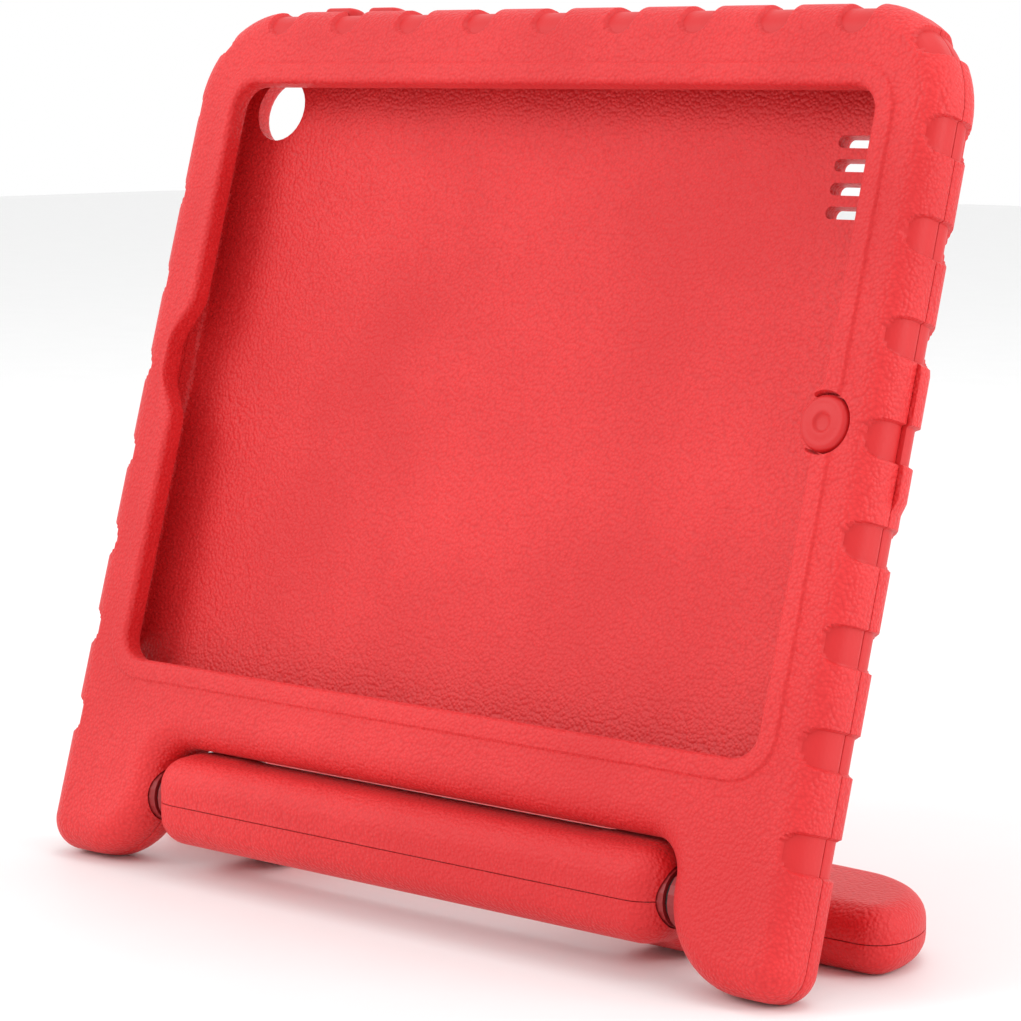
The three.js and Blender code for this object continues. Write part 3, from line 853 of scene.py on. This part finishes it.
def mix_colour(tree, factor, low, high, at):
    ramp = node(tree, "ShaderNodeValToRGB", at)
    ramp.color_ramp.elements[0].color = (*low, 1)
    ramp.color_ramp.elements[1].color = (*high, 1)
    tree.links.new(factor, ramp.inputs["Fac"])
    return ramp


FOAM = (0.742, 0.018, 0.020)
# FOAM_DEEP and FOAM_PALE are the ends of a ramp that paints shade into the pebble grooves, mixed with random
# tone.
FOAM_DEEP = (0.62, 0.010, 0.013)
FOAM_PALE = (0.80, 0.026, 0.028)
# Painted shade: the recessed tread floors are painted darker than the rim, and the pads share the mask and
# take the same dark colour.
FOAM_PAINTED_SHADE = (0.60, 0.009, 0.011)


def foam_material():
    """Injection-moulded foam: a fine pebbled skin, smooth on the tread floors and the pads, whose colour is
    also painted darker as shade.
    """
    made, tree, shader = material("red_foam_skin", FOAM, 0.5)
    link = tree.links.new
    shader.inputs["Specular IOR Level"].default_value = 0.45
    shader.inputs["Sheen Weight"].default_value = 0.08
    shader.inputs["Sheen Roughness"].default_value = 0.45
    shader.inputs["Sheen Tint"].default_value = (1.0, 0.75, 0.75, 1)
    shader.inputs["Subsurface Weight"].default_value = 0.04
    shader.inputs["Subsurface Radius"].default_value = (0.002, 0.0006, 0.0006)
    shader.inputs["Subsurface Scale"].default_value = 1.0
    where = node(tree, "ShaderNodeTexCoord", (-1500, 0))
    warp = node(tree, "ShaderNodeTexNoise", (-1300, -200), Scale=260.0, Detail=3.0, Roughness=0.6)
    link(where.outputs["Object"], warp.inputs["Vector"])
    bent = node(tree, "ShaderNodeVectorMath", (-1100, -100), operation="MULTIPLY_ADD")
    bent.inputs[1].default_value = (0.0006, 0.0006, 0.0006)
    link(warp.outputs["Color"], bent.inputs[0])
    link(where.outputs["Object"], bent.inputs[2])
    pebble = node(tree, "ShaderNodeTexVoronoi", (-900, 0), feature="SMOOTH_F1", Scale=1080.0)
    pebble.inputs["Smoothness"].default_value = 0.25
    link(bent.outputs[0], pebble.inputs["Vector"])
    fine = node(tree, "ShaderNodeTexNoise", (-900, -300), Scale=1900.0, Detail=2.0)
    link(where.outputs["Object"], fine.inputs["Vector"])
    plain = node(tree, "ShaderNodeAttribute", (-900, -550), attribute_name="plain")
    grain = node(tree, "ShaderNodeMath", (-650, -500), operation="MULTIPLY_ADD")
    grain.inputs[1].default_value = -0.88
    grain.inputs[2].default_value = 1.0
    link(plain.outputs["Fac"], grain.inputs[0])
    height = node(tree, "ShaderNodeMath", (-650, -150), operation="MULTIPLY_ADD")
    height.inputs[1].default_value = 0.22
    link(fine.outputs["Fac"], height.inputs[0])
    link(pebble.outputs["Distance"], height.inputs[2])
    bump = node(tree, "ShaderNodeBump", (-350, -350), Distance=0.00030)
    bump.invert = True
    link(height.outputs[0], bump.inputs["Height"])
    link(grain.outputs[0], bump.inputs["Strength"])
    link(bump.outputs["Normal"], shader.inputs["Normal"])
    cloud = node(tree, "ShaderNodeTexNoise", (-900, 300), Scale=14.0, Detail=4.0)
    link(where.outputs["Object"], cloud.inputs["Vector"])
    # Painted shade in part: grooves between pebbles, where the bump is low, are painted deeper and pebble
    # tops paler. The cloud noise adds random tone.
    groove_shade_and_tone = node(tree, "ShaderNodeMath", (-650, 250), operation="MULTIPLY_ADD")
    groove_shade_and_tone.inputs[1].default_value = 0.45
    link(pebble.outputs["Distance"], groove_shade_and_tone.inputs[0])
    link(cloud.outputs["Fac"], groove_shade_and_tone.inputs[2])
    tint = mix_colour(tree, groove_shade_and_tone.outputs[0], FOAM_PALE, FOAM_DEEP, (-450, 300))
    tint.color_ramp.elements[0].position = 0.35
    tint.color_ramp.elements[1].position = 1.1 / 1.3
    # Painted shade: where plain is 1 (tread floors, and the pads), the colour turns to the darker painted
    # shade.
    shade = node(tree, "ShaderNodeMix", (-250, 300), data_type="RGBA")
    shade.inputs[7].default_value = (*FOAM_PAINTED_SHADE, 1)
    link(plain.outputs["Fac"], shade.inputs[0])
    link(tint.outputs["Color"], shade.inputs[6])
    link(shade.outputs[2], shader.inputs["Base Color"])
    rough = node(tree, "ShaderNodeMapRange", (-450, 0))
    rough.inputs["To Min"].default_value = 0.43
    rough.inputs["To Max"].default_value = 0.60
    link(cloud.outputs["Fac"], rough.inputs["Value"])
    link(rough.outputs["Result"], shader.inputs["Roughness"])
    return made


def fine_material(name, low, high, rough, scale, bump_depth, metallic=0.0, stretch=(1, 1, 1)):
    """Plastic, steel or rubber: a fine surface grain with a little colour and gloss variation."""
    made, tree, shader = material(name, low, rough[0])
    link = tree.links.new
    shader.inputs["Metallic"].default_value = metallic
    where = node(tree, "ShaderNodeTexCoord", (-1100, 0))
    spread = node(tree, "ShaderNodeMapping", (-900, 0))
    spread.inputs["Scale"].default_value = stretch
    link(where.outputs["Object"], spread.inputs["Vector"])
    grain = node(tree, "ShaderNodeTexNoise", (-700, 0), Scale=scale, Detail=4.0)
    link(spread.outputs["Vector"], grain.inputs["Vector"])
    tint = mix_colour(tree, grain.outputs["Fac"], low, high, (-450, 200))
    link(tint.outputs["Color"], shader.inputs["Base Color"])
    gloss = node(tree, "ShaderNodeMapRange", (-450, -50))
    gloss.inputs["To Min"].default_value = rough[0]
    gloss.inputs["To Max"].default_value = rough[1]
    link(grain.outputs["Fac"], gloss.inputs["Value"])
    link(gloss.outputs["Result"], shader.inputs["Roughness"])
    bump = node(tree, "ShaderNodeBump", (-300, -300), Distance=bump_depth, Strength=0.7)
    link(grain.outputs["Fac"], bump.inputs["Height"])
    link(bump.outputs["Normal"], shader.inputs["Normal"])
    return made


# ---- stage: camera first, then the object, then floor and lights -------------------------------
AIM = Vector((0.00968, -0.00099, 0.10419))
AZIMUTH, ELEVATION = math.radians(41.664), math.radians(7.342)
DISTANCE = 0.883
LENS_MM = 120.69
FLOOR_HALF = 4000.0


def add_camera():
    data = bpy.data.cameras.new("camera")
    data.lens = LENS_MM
    data.sensor_width = 36.0
    made = bpy.data.objects.new("camera", data)
    bpy.context.scene.collection.objects.link(made)
    back = Vector((
        math.sin(AZIMUTH) * math.cos(ELEVATION),
        -math.cos(AZIMUTH) * math.cos(ELEVATION),
        math.sin(ELEVATION),
    ))
    made.location = AIM + back * DISTANCE
    made.rotation_mode = "QUATERNION"
    made.rotation_quaternion = (-back).to_track_quat("-Z", "Y")
    data.clip_start = 0.01
    bpy.context.scene.camera = made


def add_light(name, at, aim, size, power):
    data = bpy.data.lights.new(name, "AREA")
    data.shape = "RECTANGLE"
    data.size, data.size_y = size
    data.energy = power
    made = bpy.data.objects.new(name, data)
    bpy.context.scene.collection.objects.link(made)
    made.location = at
    made.rotation_mode = "QUATERNION"
    made.rotation_quaternion = (Vector(aim) - Vector(at)).to_track_quat("-Z", "Y")


def add_stage():
    made = Surface()
    columns = sampled(rounded_rectangle(FLOOR_HALF, FLOOR_HALF, 500), 400, 15)
    ring = made.ring(np.column_stack([columns[:, :2], np.zeros(len(columns))]))
    made.faces.append(tuple(ring))
    floor = to_object("floor", made, Matrix.Scale(MM, 4))
    skin, tree, shader = material("floor_paper", (0.86, 0.86, 0.86), 0.6)
    where = node(tree, "ShaderNodeTexCoord", (-800, 0))
    fibre = node(tree, "ShaderNodeTexNoise", (-600, 0), Scale=30.0, Detail=5.0)
    tree.links.new(where.outputs["Object"], fibre.inputs["Vector"])
    tint = mix_colour(tree, fibre.outputs["Fac"], (0.85, 0.85, 0.85), (0.88, 0.88, 0.88), (-400, 0))
    tree.links.new(tint.outputs["Color"], shader.inputs["Base Color"])
    floor.data.materials.append(skin)
    world = bpy.data.worlds.new("studio")
    bpy.context.scene.world = world
    world.use_nodes = True
    world.node_tree.nodes["Background"].inputs["Color"].default_value = (1, 1, 1, 1)
    world.node_tree.nodes["Background"].inputs["Strength"].default_value = 1.0
    add_light("key_left", (-1.0, -1.5, 1.3), (0, 0, 0.12), (1.0, 1.0), 13)
    add_light("fill_right", (1.6, 0.5, 0.8), (0.1, 0, 0.05), (0.8, 1.0), 11)
    add_light("top", (0.1, 0.3, 1.9), (0, 0, 0.1), (1.2, 1.0), 6)
    bpy.context.scene.view_settings.view_transform = "Standard"


def finish_piece(obj, body, slot, skin, *nodes):
    obj.data.materials.clear()
    obj.data.materials.append(skin)
    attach(obj, body)
    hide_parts(*nodes)


SHELL_CREASE = 33

add_camera()
foam = foam_material()
rim_points = rim_columns()
plugs = shell_cutters()
for build, cad in ((front_shell, "front_shell"), (rear_shell, "rear_shell")):
    shell = build(rim_points)
    boolean(shell, plugs, "DIFFERENCE")
    trim_to_floor(shell)
    soften(shell, SHELL_CREASE)
    finish_piece(shell, "case", "red_foam", foam, cad)
drop(plugs)

for half, cad in zip(handle_halves(), ("handle_upper_half", "handle_lower_half")):
    finish_piece(half, "handle", "red_foam", foam, cad)

finish_piece(home_pad(), "home_pad", "red_foam", foam, "home_button_pad")
power_place = (-POCKET_X, POWER["y"], POWER["z"])
power_pad = wall_pad("power_button_foam", POWER, SIDE - POCKET_X, FACING_LEFT, power_place)
finish_piece(power_pad, "power_pad", "red_foam", foam, "power_button_pad")
for name, x in zip(("volume_up", "volume_down"), VOLUME["x"]):
    pad = wall_pad(name + "_foam", VOLUME, TOP - POCKET_Y, FACING_TOP, (x, POCKET_Y, VOLUME["z"]))
    finish_piece(pad, name, "red_foam", foam, name + "_pad")

plastic = fine_material(
    "hinge_nylon", (0.22, 0.006, 0.008), (0.32, 0.010, 0.012),
    rough=(0.38, 0.55), scale=900.0, bump_depth=0.00006,
)
steel = fine_material(
    "pin_steel", (0.50, 0.51, 0.53), (0.66, 0.67, 0.69),
    rough=(0.22, 0.38), scale=500.0, bump_depth=0.00003, metallic=1.0, stretch=(12, 1, 1),
)
rubber = fine_material(
    "washer_rubber", (0.018, 0.018, 0.019), (0.035, 0.035, 0.036),
    rough=(0.75, 0.9), scale=700.0, bump_depth=0.00008,
)
hardware = {
    "foot_socket": plastic,
    "handle_hub": plastic,
    "hinge_pin": steel,
    "retaining_clip": steel,
    "friction_washer": rubber,
}
for stem, skin in hardware.items():
    for side in ("right", "left"):
        cad_node = frame["nodes"][stem + "_" + side]
        cad_node.data.materials.clear()
        cad_node.data.materials.append(skin)

add_stage()
